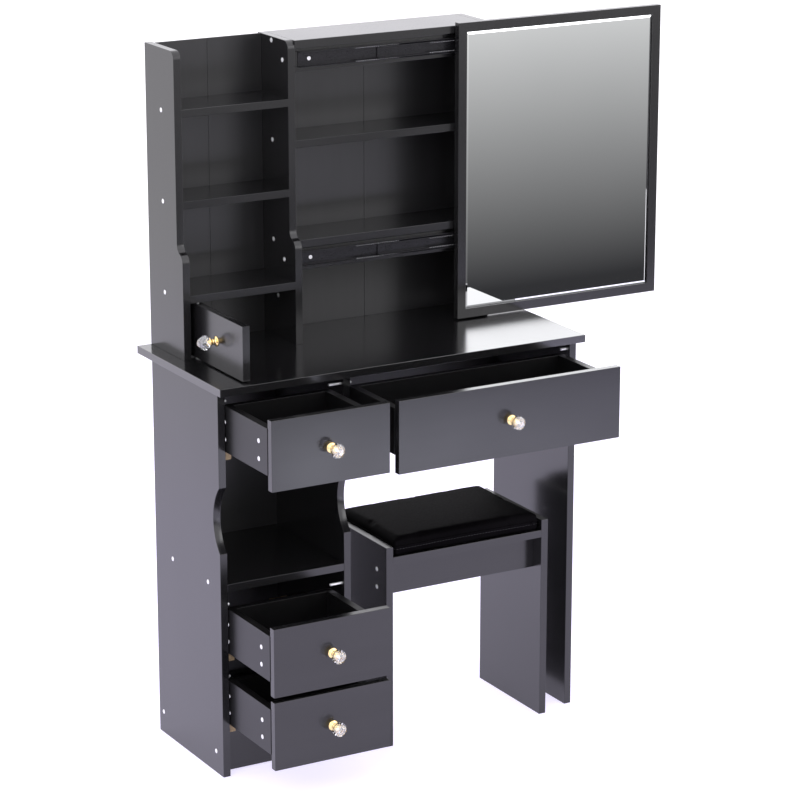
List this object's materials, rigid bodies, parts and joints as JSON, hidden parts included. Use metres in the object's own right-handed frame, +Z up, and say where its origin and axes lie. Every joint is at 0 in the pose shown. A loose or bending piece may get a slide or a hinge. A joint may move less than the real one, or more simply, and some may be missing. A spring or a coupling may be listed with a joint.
{
  "type": "vanity table",
  "caption": "Vanity table with a drawer pedestal, a wide drawer, an open shelf hutch, a side-sliding mirror on telescopic slides, a small cupboard door and a tuck-in stool.",
  "frame": {"origin": "on the floor, at the centre of the lower edge of the divider panel between the pedestal and the knee space", "axes": "+X to the sitter's right, along the desk and the mirror's travel; +Y to the back, towards the wall; +Z up"},
  "size_m": [1.11, 0.558, 1.377],
  "materials": {
    "laminate": "satin black laminate on board",
    "backboard": "thin black hardboard",
    "raw_wood": "unpainted softwood strip",
    "zinc": "bright zinc plating",
    "slide_steel": "black coated steel",
    "gold": "polished gold plating",
    "crystal": "clear cut crystal",
    "mirror": "silvered glass",
    "cushion": "matte black artificial leather"
  },
  "bodies": {
    "desk": {"desktop": "laminate", "left_side_panel": "laminate", "divider_panel": "laminate", "right_side_panel": "laminate", "pedestal_shelf": "laminate", "pedestal_back_panel": "backboard", "plinth_boards": "laminate", "knee_rail": "laminate", "drawer_runners": "raw_wood", "stop_pins": "zinc", "hutch_left_panel": "laminate", "hutch_centre_panel": "laminate", "hutch_right_panel": "laminate", "hutch_top": "laminate", "column_shelf_upper": "laminate", "column_shelf_middle": "laminate", "cupboard_shelf": "laminate", "bay_shelf_upper": "laminate", "bay_shelf_lower": "laminate", "hutch_back_panels": "backboard", "slide_rail_upper": "laminate", "slide_rail_lower": "laminate", "slide_channels": "slide_steel", "panel_screws": "zinc", "door_pivots": "zinc"},
    "upper_drawer": {"upper_drawer_front": "laminate", "upper_drawer_box": "laminate", "upper_drawer_cams": "zinc", "upper_drawer_knob_foot": "gold", "upper_drawer_knob": "crystal"},
    "middle_drawer": {"middle_drawer_front": "laminate", "middle_drawer_box": "laminate", "middle_drawer_cams": "zinc", "middle_drawer_knob_foot": "gold", "middle_drawer_knob": "crystal"},
    "lower_drawer": {"lower_drawer_front": "laminate", "lower_drawer_box": "laminate", "lower_drawer_cams": "zinc", "lower_drawer_knob_foot": "gold", "lower_drawer_knob": "crystal"},
    "wide_drawer": {"wide_drawer_front": "laminate", "wide_drawer_box": "laminate", "wide_drawer_cams": "zinc", "wide_drawer_knob_foot": "gold", "wide_drawer_knob": "crystal"},
    "slide_middles": {"slide_middle_members": "slide_steel"},
    "mirror": {"slide_inner_members": "slide_steel", "mirror_frame": "laminate", "mirror_glass": "mirror", "mirror_backboard": "backboard"},
    "cupboard_door": {"door_panel": "laminate", "door_knob_foot": "gold", "door_knob": "crystal"},
    "stool": {"stool_left_leg": "laminate", "stool_right_leg": "laminate", "stool_aprons": "laminate", "stool_seat_board": "laminate", "stool_screws": "zinc", "stool_cushion": "cushion"}
  },
  "joints": [
    {"name": "upper_drawer_slide", "type": "slide", "parent": "desk", "child": "upper_drawer", "axis": [0, 1, 0], "range_m": [0, 0.174]},
    {"name": "middle_drawer_slide", "type": "slide", "parent": "desk", "child": "middle_drawer", "axis": [0, 1, 0], "range_m": [0, 0.174]},
    {"name": "lower_drawer_slide", "type": "slide", "parent": "desk", "child": "lower_drawer", "axis": [0, 1, 0], "range_m": [0, 0.174]},
    {"name": "wide_drawer_slide", "type": "slide", "parent": "desk", "child": "wide_drawer", "axis": [0, 1, 0], "range_m": [0, 0.174]},
    {"name": "mirror_slide", "type": "slide", "parent": "desk", "child": "mirror", "axis": [1, 0, 0], "range_m": [-0.344, 0]},
    {"name": "slide_middles_slide", "type": "slide", "parent": "desk", "child": "slide_middles", "axis": [1, 0, 0], "range_m": [-0.172, 0]},
    {"name": "cupboard_door_hinge", "type": "hinge", "parent": "desk", "child": "cupboard_door", "pos_m": [-0.2145, 0.054, 0.783], "axis": [0, 0, 1], "range_deg": [0, 90]},
    {"name": "stool_slide", "type": "slide", "parent": "desk", "child": "stool", "axis": [0, -1, 0], "range_m": [0, 0.3]}
  ],
  "couplings": [
    {"joint": "slide_middles_slide", "follows": "mirror_slide", "ratio": 0.5}
  ]
}
